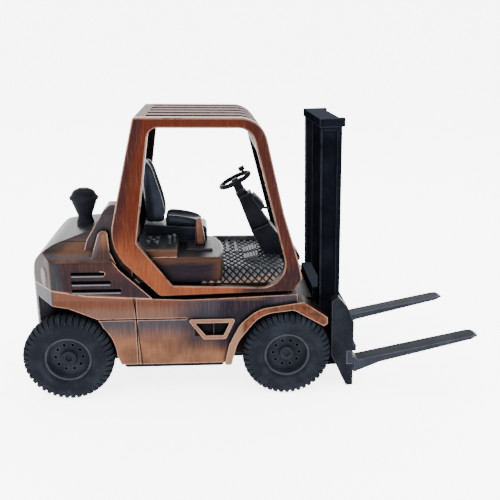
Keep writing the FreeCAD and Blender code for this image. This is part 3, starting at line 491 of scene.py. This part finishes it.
def floor_finish():
    graph = Graph("floor_patina")
    drop = graph.most(graph.add(graph.times(graph.y, -FLOOR_FALL), FLOOR_FALL * FLOOR_BEND_Y), 0.0)
    crest = graph.ramp(graph.add(graph.z, drop), FLOOR_TOP - 0.05, FLOOR_TOP + 0.13)
    cloud = graph.noise(3.0, 3.0, offset=6.0)
    blue = graph.mix(graph.ramp(cloud, 0.3, 0.7), (0.110, 0.125, 0.155), (0.220, 0.245, 0.290))
    near = graph.ramp(graph.add(graph.y, graph.times(graph.x, -0.12)), -13.4, -17.0)
    colour = graph.mix(crest, BLACK, graph.mix(near, blue, (0.62, 0.36, 0.27)))
    grain = graph.noise(0.4, 3.0)
    graph.bump(grain, 0.02, 0.08)
    return graph.set(base_color=colour, metallic=0.5,
                     roughness=graph.add(0.32, graph.times(grain, 0.2)), specular_ior_level=0.3)


def moulded(name, colour, rough, grain=0.5, depth=0.012, edge=(0.10, 0.11, 0.13), share=0.6, radius=0.15,
            metal=0.0, specular=0.008, lift=2.0, top=None):
    """Black moulding or dark plating: mottled tone, fine grain, painted highlights on sharp edges and
    painted shade in corners; top is a painted highlight on up-facing faces.
    """
    graph = Graph(name)
    speckle = graph.noise(grain, 4.0, 0.65)
    cloud = graph.noise(5.0, 3.0, offset=7.0)
    lifted = tuple(lift * c for c in colour)
    tone = graph.mix(graph.ramp(cloud, 0.35, 0.7), colour, lifted)
    tone = graph.mix(graph.times(graph.ramp(speckle, 0.45, 0.8), 0.5), tone, lifted)
    # Painted highlight: up-facing faces take the top colour.
    if top:
        tone = graph.mix(graph.times(graph.ramp(graph.face_z, 0.6, 0.9), 0.9), tone, top)
    # Painted highlight on sharp edges.
    tone = graph.mix(graph.times(graph.edges(0.28), share), tone, edge)
    # Painted shade: black in corners and hollows.
    tone = graph.mix(graph.times(graph.ramp(graph.occlusion(0.9), 0.7, 0.3), 0.8), tone, BLACK)
    graph.bump(speckle, depth, radius)
    roughness = graph.add(rough - 0.08, graph.times(speckle, 0.16))
    return graph.set(base_color=tone, metallic=metal, roughness=roughness,
                     specular_ior_level=specular)


def tyre_finish():
    graph = Graph("tyre_rubber")
    speckle = graph.noise(0.3, 4.0, 0.7)
    dust = graph.ramp(graph.noise(3.0, 4.0, offset=2.0), 0.4, 0.7)
    tone = graph.mix(graph.times(dust, 0.6), (0.0200, 0.0230, 0.0320), (0.0440, 0.0510, 0.0680))
    # Painted highlight: grey-blue on the tyre's sharp edges.
    tone = graph.mix(graph.times(graph.edges(0.3), 0.45), tone, (0.28, 0.31, 0.38))
    # Painted shade: black in corners and hollows.
    tone = graph.mix(graph.ramp(graph.occlusion(0.8), 0.75, 0.4), tone, BLACK)
    graph.bump(speckle, 0.02, 0.1)
    return graph.set(base_color=tone, roughness=graph.add(0.5, graph.times(speckle, 0.2)),
                     specular_ior_level=0.008)


def steel_finish():
    graph = Graph("dull_steel")
    grain = graph.noise(0.2, 3.0)
    graph.bump(grain, 0.01, 0.08)
    tone = graph.mix(graph.ramp(grain, 0.3, 0.7), (0.20, 0.20, 0.21), (0.34, 0.34, 0.35))
    return graph.set(base_color=tone, metallic=1.0,
                     roughness=graph.add(0.28, graph.times(grain, 0.2)))


def lamp_finish():
    graph = Graph("lamp_grey")
    grain = graph.noise(0.5, 3.0)
    graph.bump(grain, 0.01, 0.5)
    tone = graph.mix(graph.ramp(grain, 0.3, 0.7), (0.026, 0.024, 0.024), (0.062, 0.058, 0.058))
    # Painted shade: black in corners and hollows.
    tone = graph.mix(graph.ramp(graph.occlusion(0.8), 0.8, 0.4), tone, BLACK)
    return graph.set(base_color=tone, metallic=0.4,
                     roughness=graph.add(0.34, graph.times(grain, 0.2)))


def assign(node, material):
    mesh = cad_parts[node].data
    mesh.materials.clear()
    mesh.materials.append(material)


def smooth_cad():
    """Shades the CAD meshes smooth across shallow angles."""
    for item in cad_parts.values():
        mesh = item.data
        for polygon in mesh.polygons:
            polygon.use_smooth = True
        mesh.set_sharp_from_angle(angle=math.radians(SMOOTH_CAD_ANGLE))


GUARD = guard_finish()
ROOF = roof_finish()
SKIRT = skirt_finish()
HOOD = counterweight_finish()
CAB = cab_finish()
LEVER = lever_finish()
FLOOR = floor_finish()
# The mast's up-facing faces are painted blue-grey as a highlight.
MAST = moulded("mast_black", (0.0060, 0.0068, 0.0110), 0.50, 0.4, 0.02, (0.10, 0.11, 0.135), 0.5,
               specular=0.0, top=(0.075, 0.088, 0.115))
FORKS = moulded("fork_blue_black", (0.040, 0.046, 0.062), 0.36, 0.45, 0.015, (0.26, 0.28, 0.34),
                metal=0.2, lift=1.5)
CARRIAGE = moulded("carriage_black", (0.0150, 0.0170, 0.0240), 0.40, 0.4, 0.02, (0.18, 0.20, 0.24),
                   metal=0.1)
SEAT = moulded("seat_grey", (0.026, 0.030, 0.042), 0.30, 0.6, 0.01, (0.30, 0.33, 0.38), 0.5,
               metal=0.5, lift=1.8)
GREY_TRIM = moulded("grey_trim", (0.085, 0.095, 0.120), 0.40, 0.4, 0.012, (0.60, 0.60, 0.66),
                    metal=0.5)
BLACK_TRIM = moulded("black_trim", (0.0120, 0.0130, 0.0180), 0.36, 0.4, 0.012, (0.20, 0.21, 0.25))
INTAKE = moulded("intake_black", (0.0150, 0.0155, 0.0220), 0.40, 0.4, 0.010, (0.20, 0.20, 0.24))
RIM = moulded("rim_black", (0.0240, 0.0275, 0.0370), 0.5, 0.4, 0.012, (0.16, 0.18, 0.21))
TYRE = tyre_finish()
STEEL = steel_finish()
LAMP = lamp_finish()

FINISHES = {
    "chassis_casting": SKIRT, "counterweight": HOOD, "air_intake": INTAKE, "tail_lamps": LAMP,
    "base_plate": BLACK_TRIM, "base_screws": STEEL, "cab_floor": FLOOR, "console": CAB,
    "control_panel": CAB, "panel_knobs": GREY_TRIM, "hand_lever": LEVER, "seat_base": SEAT,
    "seat_cushion": SEAT, "seat_back": SEAT, "foot_pedals": GREY_TRIM,
    "steering_column": BLACK_TRIM, "instrument_pod": BLACK_TRIM,
    "steering_wheel": BLACK_TRIM, "spinner_knob": BLACK_TRIM, "guard_side_right": GUARD,
    "guard_side_left": GUARD, "guard_roof": ROOF, "mast_rail_right": MAST, "mast_rail_left": MAST,
    "mast_top_plate": MAST, "mast_bracket": MAST, "mast_cylinder": MAST, "mast_screws": STEEL,
    "fork_carriage": CARRIAGE, "fork_right": FORKS, "fork_left": FORKS, "rear_axle": STEEL,
    "front_axle": STEEL,
}
for end in WHEEL_X:
    for hand in ("right", "left"):
        FINISHES[f"{end}_tyre_{hand}"] = TYRE
        FINISHES[f"{end}_rim_{hand}"] = RIM

smooth_cad()
for node_name, finish in FINISHES.items():
    assign(node_name, finish)


# ---- mesh helpers ----
def piece(name, vertices, faces, body, stands_for, material, smooth_angle=35.0):
    """A mesh given in design millimetres that rides on a body and stands for CAD nodes."""
    mesh = bpy.data.meshes.new(name)
    mesh.from_pydata([at(*v) for v in vertices], [], faces)
    made = bmesh.new()
    made.from_mesh(mesh)
    bmesh.ops.recalc_face_normals(made, faces=made.faces)
    made.to_mesh(mesh)
    made.free()
    for polygon in mesh.polygons:
        polygon.use_smooth = True
    mesh.set_sharp_from_angle(angle=math.radians(smooth_angle))
    mesh.materials.append(material)
    item = bpy.data.objects.new(name, mesh)
    bpy.context.scene.collection.objects.link(item)
    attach(item, body)
    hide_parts(*stands_for)
    return item


class Shape:
    """Vertices and faces gathered into one mesh."""

    def __init__(self):
        self.vertices = []
        self.faces = []

    def rings(self, rings, cap=True, loop=False):
        """Joins closed rings of equal length in turn; loop joins the last to the first."""
        start = len(self.vertices)
        count = len(rings[0])
        for ring in rings:
            self.vertices.extend(ring)
        for i in range(len(rings) - 1):
            for k in range(count):
                m = (k + 1) % count
                a = start + i * count
                self.faces.append((a + k, a + m, a + count + m, a + count + k))
        last = start + (len(rings) - 1) * count
        if loop:
            for k in range(count):
                m = (k + 1) % count
                self.faces.append((last + k, last + m, start + m, start + k))
        if cap:
            self.faces.append(tuple(range(start + count - 1, start - 1, -1)))
            self.faces.append(tuple(range(last, last + count)))

    def prism(self, outline, y0, y1):
        """Side-view outline drawn out across the truck."""
        self.rings([[(x, y, z) for x, z in outline] for y in (y0, y1)])


# ---- tyres ----
LUGS = 44
STEPS_PER_LUG = 8
LUG_SHARE = 0.55         # of each step round the tyre, the part that stands up
LUG_HEIGHT = 0.34
SHOULDER_CUT = 0.35


def tyre_section(height):
    """Tyre section (radius, distance from the inner face); lug height raises tread and shoulder."""
    w = TYRE_WIDTH
    groove = LUG_HEIGHT * (1.0 - height)
    shoulder = SHOULDER_CUT * (1.0 - height)
    return [
        (5.3, 0.0), (7.9, 0.0), (9.0, 0.15), (9.8, 0.5 + shoulder), (10.3 - groove, 1.0 + shoulder),
        (TYRE_R - groove, 1.9), (TYRE_R - 0.5 * groove, w / 2), (TYRE_R - groove, w - 1.6),
        (10.45 - groove, w - 0.8 - shoulder), (10.1 - 0.6 * groove, w - 0.42 - shoulder),
        (9.4, w - 0.14 - shoulder), (8.8, w - 0.12), (8.6, w), (7.9, w), (7.4, w - 0.12),
        (6.8, w - 0.04), (6.2, w - 0.04), (5.9, w - 0.15), (5.7, w - 0.42), (5.3, w - 0.5),
    ]


def build_tyre(end, hand):
    side = -1 if hand == "right" else 1
    count = LUGS * STEPS_PER_LUG
    rings = []
    for i in range(count):
        phase = (i % STEPS_PER_LUG) / STEPS_PER_LUG
        turn = 2 * math.pi * i / count
        ring = []
        for radius, depth in tyre_section(1.0 if phase < LUG_SHARE else 0.0):
            y = side * (TYRE_OUTER_Y - TYRE_WIDTH + depth)
            ring.append((WHEEL_X[end] + radius * math.cos(turn), y, AXLE_Z + radius * math.sin(turn)))
        rings.append(ring)
    shape = Shape()
    shape.rings(rings, cap=False, loop=True)
    node = f"{end}_tyre_{hand}"
    piece(f"{node}_tread", shape.vertices, shape.faces, f"{end}_wheels", [node], TYRE)


for end in WHEEL_X:
    for hand in ("right", "left"):
        build_tyre(end, hand)


# ---- cab floor with raised diamonds ----
STUD_PITCH_X = 1.74
STUD_PITCH_Y = 2.95
STUD_FIRST_ROW = -14.75
STUD_ROWS = 20
STUD_FIELD_X = (6.2, 26.2)
STUD_HALF_X = 0.80
STUD_HALF_Y = 1.36
PLATE_DROP = 0.25        # how far the visible plate lies under the CAD floor's top
FLOOR_EDGE_Y = 14.8
FLOOR_NEAR_Y = -14.6
FLOOR_X = (-6.0, 27.3)
FLOOR_UNDER_Z = 27.6
TRAY_X = (-5.4, 26.6)    # the part of the plate that is let into the chassis
TRAY_HALF_Y = 13.4
TRAY_Z = (24.4, FLOOR_UNDER_Z)
KERB_RISE = 1.3
STUD_LAYERS = [(1.0, -0.30), (0.86, -0.02), (0.62, 0.16), (0.30, 0.22)]


def floor_level(y):
    """The plate is level, and falls away a little along its near edge."""
    return FLOOR_TOP - PLATE_DROP - FLOOR_FALL * max(0.0, FLOOR_BEND_Y - y)


def build_floor():
    shape = Shape()
    top = floor_level(0.0)
    plate = [(FLOOR_NEAR_Y, 27.0), (FLOOR_NEAR_Y, floor_level(FLOOR_NEAR_Y)), (FLOOR_BEND_Y, top),
             (FLOOR_EDGE_Y, top), (FLOOR_EDGE_Y, FLOOR_UNDER_Z), (-TRAY_HALF_Y, 27.0)]
    shape.rings([[(x, y, z) for y, z in plate] for x in FLOOR_X])
    (rear, front), (low, high) = TRAY_X, TRAY_Z
    shape.prism([(rear, low), (rear, high), (front, high), (front, low)], -TRAY_HALF_Y, TRAY_HALF_Y)
    kerb_top = FLOOR_TOP + KERB_RISE
    kerb = [(7.3, top), (8.6, kerb_top), (25.6, kerb_top), (STUD_FIELD_X[1], top)]
    shape.prism(kerb, FLOOR_EDGE_Y - 0.8, FLOOR_EDGE_Y)
    for row in range(STUD_ROWS):
        y = STUD_FIRST_ROW + row * STUD_PITCH_Y / 2
        x = STUD_FIELD_X[0] + (row % 2) * STUD_PITCH_X / 2
        while x < STUD_FIELD_X[1]:
            rings = []
            for share, lift in STUD_LAYERS:
                dx, dy = STUD_HALF_X * share, STUD_HALF_Y * share
                ring = [(x + dx, y), (x, y + dy), (x - dx, y), (x, y - dy)]
                rings.append([(px, max(py, -FLOOR_EDGE_Y), floor_level(py) + PLATE_DROP + lift)
                              for px, py in ring])
            shape.rings(rings)
            x += STUD_PITCH_X
    piece("cab_floor_plate", shape.vertices, shape.faces, "chassis", ["cab_floor"],
          FLOOR)


# ---- console with softened edges ----
CONSOLE_PLAN = [
    (-10.4, -14.6), (10.3, -14.6), (10.9, -9.0), (11.0, -4.6), (10.5, -1.2), (9.6, 1.8), (8.4, 3.6),
    (7.2, 4.2), (7.2, 14.6), (-10.4, 14.6),
]
CONSOLE_Z = (27.9, 34.4)
CONSOLE_EDGE = 0.55


def build_console():
    shape = Shape()
    shape.rings([[(x, y, z) for x, y in CONSOLE_PLAN] for z in CONSOLE_Z])
    item = piece("console_cover", shape.vertices, shape.faces, "chassis",
                 ["console"], CAB)
    edge = item.modifiers.new("edge", "BEVEL")
    edge.width = CONSOLE_EDGE * MM
    edge.segments = 3
    edge.limit_method = "ANGLE"
    edge.angle_limit = math.radians(25)


# ---- seat ----
SEAT_MIDDLE = 2.65
SEAT_FACE = 0.64         # share of the thickness at the flat of the pad; bolsters rise above it
SEAT_LOOP = [
    (-1.0, 0.25), (-1.0, 0.80), (-0.86, 1.02), (-0.64, 0.98), (-0.53, 0.70), (-0.28, 0.64),
    (0.0, 0.63), (0.28, 0.64), (0.53, 0.70), (0.64, 0.98), (0.86, 1.02), (1.0, 0.80),
    (1.0, 0.25), (0.86, 0.0), (0.3, 0.0), (-0.3, 0.0), (-0.86, 0.0),
]
# Each station: rear or under side point, front or upper side point, half width, bolster height.
CUSHION_STATIONS = [
    ((-3.3, 38.7), (-3.3, 40.2), 3.3, 0.8), ((-2.9, 38.4), (-2.9, 41.0), 4.0, 1.0),
    ((-1.0, 38.2), (-1.2, 41.1), 4.1, 1.0), ((2.0, 38.1), (2.0, 40.6), 4.1, 1.0),
    ((4.2, 38.1), (4.3, 40.1), 4.0, 0.9), ((5.2, 38.1), (5.4, 39.6), 3.8, 0.6),
    ((5.7, 38.3), (5.9, 39.1), 3.4, 0.3),
]
BACK_STATIONS = [
    ((-7.9, 39.1), (-3.8, 39.1), 3.6, 0.9), ((-7.95, 39.8), (-3.4, 39.9), 4.0, 1.0),
    ((-8.15, 42.5), (-3.2, 42.6), 4.05, 1.0), ((-8.4, 46.2), (-4.2, 46.6), 4.0, 1.0),
    ((-8.65, 50.0), (-5.5, 50.6), 3.9, 1.0), ((-8.8, 52.5), (-6.1, 53.0), 3.7, 0.9),
    ((-8.8, 53.7), (-6.9, 54.3), 3.2, 0.5), ((-8.5, 54.0), (-7.6, 54.5), 2.6, 0.2),
]


def build_seat_part(name, stations, node):
    """A smooth pad with side bolsters, lofted through its stations."""
    rings = []
    for (x0, z0), (x1, z1), half, bolster in stations:
        ring = []
        for across, share in SEAT_LOOP:
            if share > SEAT_FACE:
                share = SEAT_FACE + (share - SEAT_FACE) * bolster
            ring.append((x0 + (x1 - x0) * share, SEAT_MIDDLE + half * across, z0 + (z1 - z0) * share))
        rings.append(ring)
    shape = Shape()
    shape.rings(rings)
    item = piece(name, shape.vertices, shape.faces, "chassis", [node], SEAT, 180.0)
    smooth = item.modifiers.new("smooth", "SUBSURF")
    smooth.levels = 2
    smooth.render_levels = 2


build_floor()
build_console()
build_seat_part("seat_cushion_pad", CUSHION_STATIONS, "seat_cushion")
build_seat_part("seat_back_pad", BACK_STATIONS, "seat_back")


# ---- studio ----
# Radius and height in metres of the floor's rings, outside its centre.
DISH = [(0.6, 0.0), (1.5, 0.0), (2.4, 0.03), (3.6, 0.16), (5.0, 0.50), (6.5, 1.1), (8.0, 2.0),
        (10.0, 3.6)]
DISH_SIDES = 48
FLOOR_GLOW = 4.5         # the floor gives off light, so that it comes out near white
SKY_LOW, SKY_HIGH = 0.75, 2.6
SKY_HIGH_RISE = 0.9      # sine of the elevation at which the sky is brightest


def studio():
    """A pale floor that rises gently far out, and a sky that is brighter overhead."""
    mesh = bpy.data.meshes.new("studio_floor")
    vertices = [(0, 0, 0)]
    faces = []
    for ring, (radius, height) in enumerate(DISH):
        for i in range(DISH_SIDES):
            turn = 2 * math.pi * i / DISH_SIDES
            vertices.append((radius * math.cos(turn), radius * math.sin(turn), height))
            j = (i + 1) % DISH_SIDES
            outer = 1 + ring * DISH_SIDES
            if ring == 0:
                faces.append((0, outer + i, outer + j))
            else:
                inner = outer - DISH_SIDES
                faces.append((inner + i, outer + i, outer + j, inner + j))
    mesh.from_pydata(vertices, [], faces)
    for polygon in mesh.polygons:
        polygon.use_smooth = True
    floor = bpy.data.objects.new("studio_floor", mesh)
    bpy.context.scene.collection.objects.link(floor)
    graph = Graph("studio_white", 1.0)
    grain = graph.noise(30.0, 2.0)
    mesh.materials.append(graph.set(
        base_color=graph.mix(grain, (0.90, 0.90, 0.90), (0.93, 0.93, 0.93)), roughness=0.9,
        emission_color=(1.0, 1.0, 1.0), emission_strength=FLOOR_GLOW
    ))
    world = bpy.data.worlds.new("studio_light")
    bpy.context.scene.world = world
    world.use_nodes = True
    nodes, links = world.node_tree.nodes, world.node_tree.links
    direction = nodes.new("ShaderNodeTexCoord")
    split = nodes.new("ShaderNodeSeparateXYZ")
    rise = nodes.new("ShaderNodeMapRange")
    links.new(direction.outputs["Generated"], split.inputs[0])
    links.new(split.outputs[2], rise.inputs["Value"])
    rise.inputs["From Min"].default_value = 0.0
    rise.inputs["From Max"].default_value = SKY_HIGH_RISE
    rise.inputs["To Min"].default_value = SKY_LOW
    rise.inputs["To Max"].default_value = SKY_HIGH
    background = nodes["Background"]
    background.inputs["Color"].default_value = (1.0, 1.0, 1.0, 1)
    links.new(rise.outputs["Result"], background.inputs["Strength"])


def soft_light(name, place, target, width, power):
    light = bpy.data.lights.new(name, "AREA")
    light.shape = "RECTANGLE"
    light.size = width[0]
    light.size_y = width[1]
    light.energy = power
    item = bpy.data.objects.new(name, light)
    item.location = place
    item.rotation_mode = "QUATERNION"
    item.rotation_quaternion = (Vector(target) - Vector(place)).to_track_quat("-Z", "Y")
    bpy.context.scene.collection.objects.link(item)


CAMERA_PLACE = (6.3, -157.0, 81.9)
CAMERA_TURN = (4.28, 17.76, -0.66)   # yaw, pitch and roll in degrees, fitted to the photograph
CAMERA_SENSOR = 36.0
CAMERA_LENS = 46.36


def camera():
    """Stands off the truck's right side, a little above it, turned 4 degrees forward."""
    yaw, pitch, roll = (math.radians(angle) for angle in CAMERA_TURN)
    ahead = Vector((math.sin(yaw) * math.cos(pitch), math.cos(yaw) * math.cos(pitch), -math.sin(pitch)))
    level = Vector((math.cos(yaw), -math.sin(yaw), 0))
    down = ahead.cross(level)
    right = level * math.cos(roll) + down * math.sin(roll)
    down = down * math.cos(roll) - level * math.sin(roll)
    lens = bpy.data.cameras.new("studio_camera")
    lens.sensor_width = CAMERA_SENSOR
    lens.lens = CAMERA_LENS
    lens.clip_start = 0.005
    item = bpy.data.objects.new("studio_camera", lens)
    item.rotation_mode = "QUATERNION"
    item.rotation_quaternion = Matrix((right, -down, -ahead)).transposed().to_quaternion()
    item.location = at(*CAMERA_PLACE)
    bpy.context.scene.collection.objects.link(item)
    bpy.context.scene.camera = item


studio()
soft_light("key_softbox", (-0.15, -0.30, 0.45), (0, 0, 0.03), (0.40, 0.30), 3.0)
soft_light("top_softbox", (0.05, 0.15, 0.55), (0, 0, 0.03), (0.60, 0.40), 4.0)
camera()
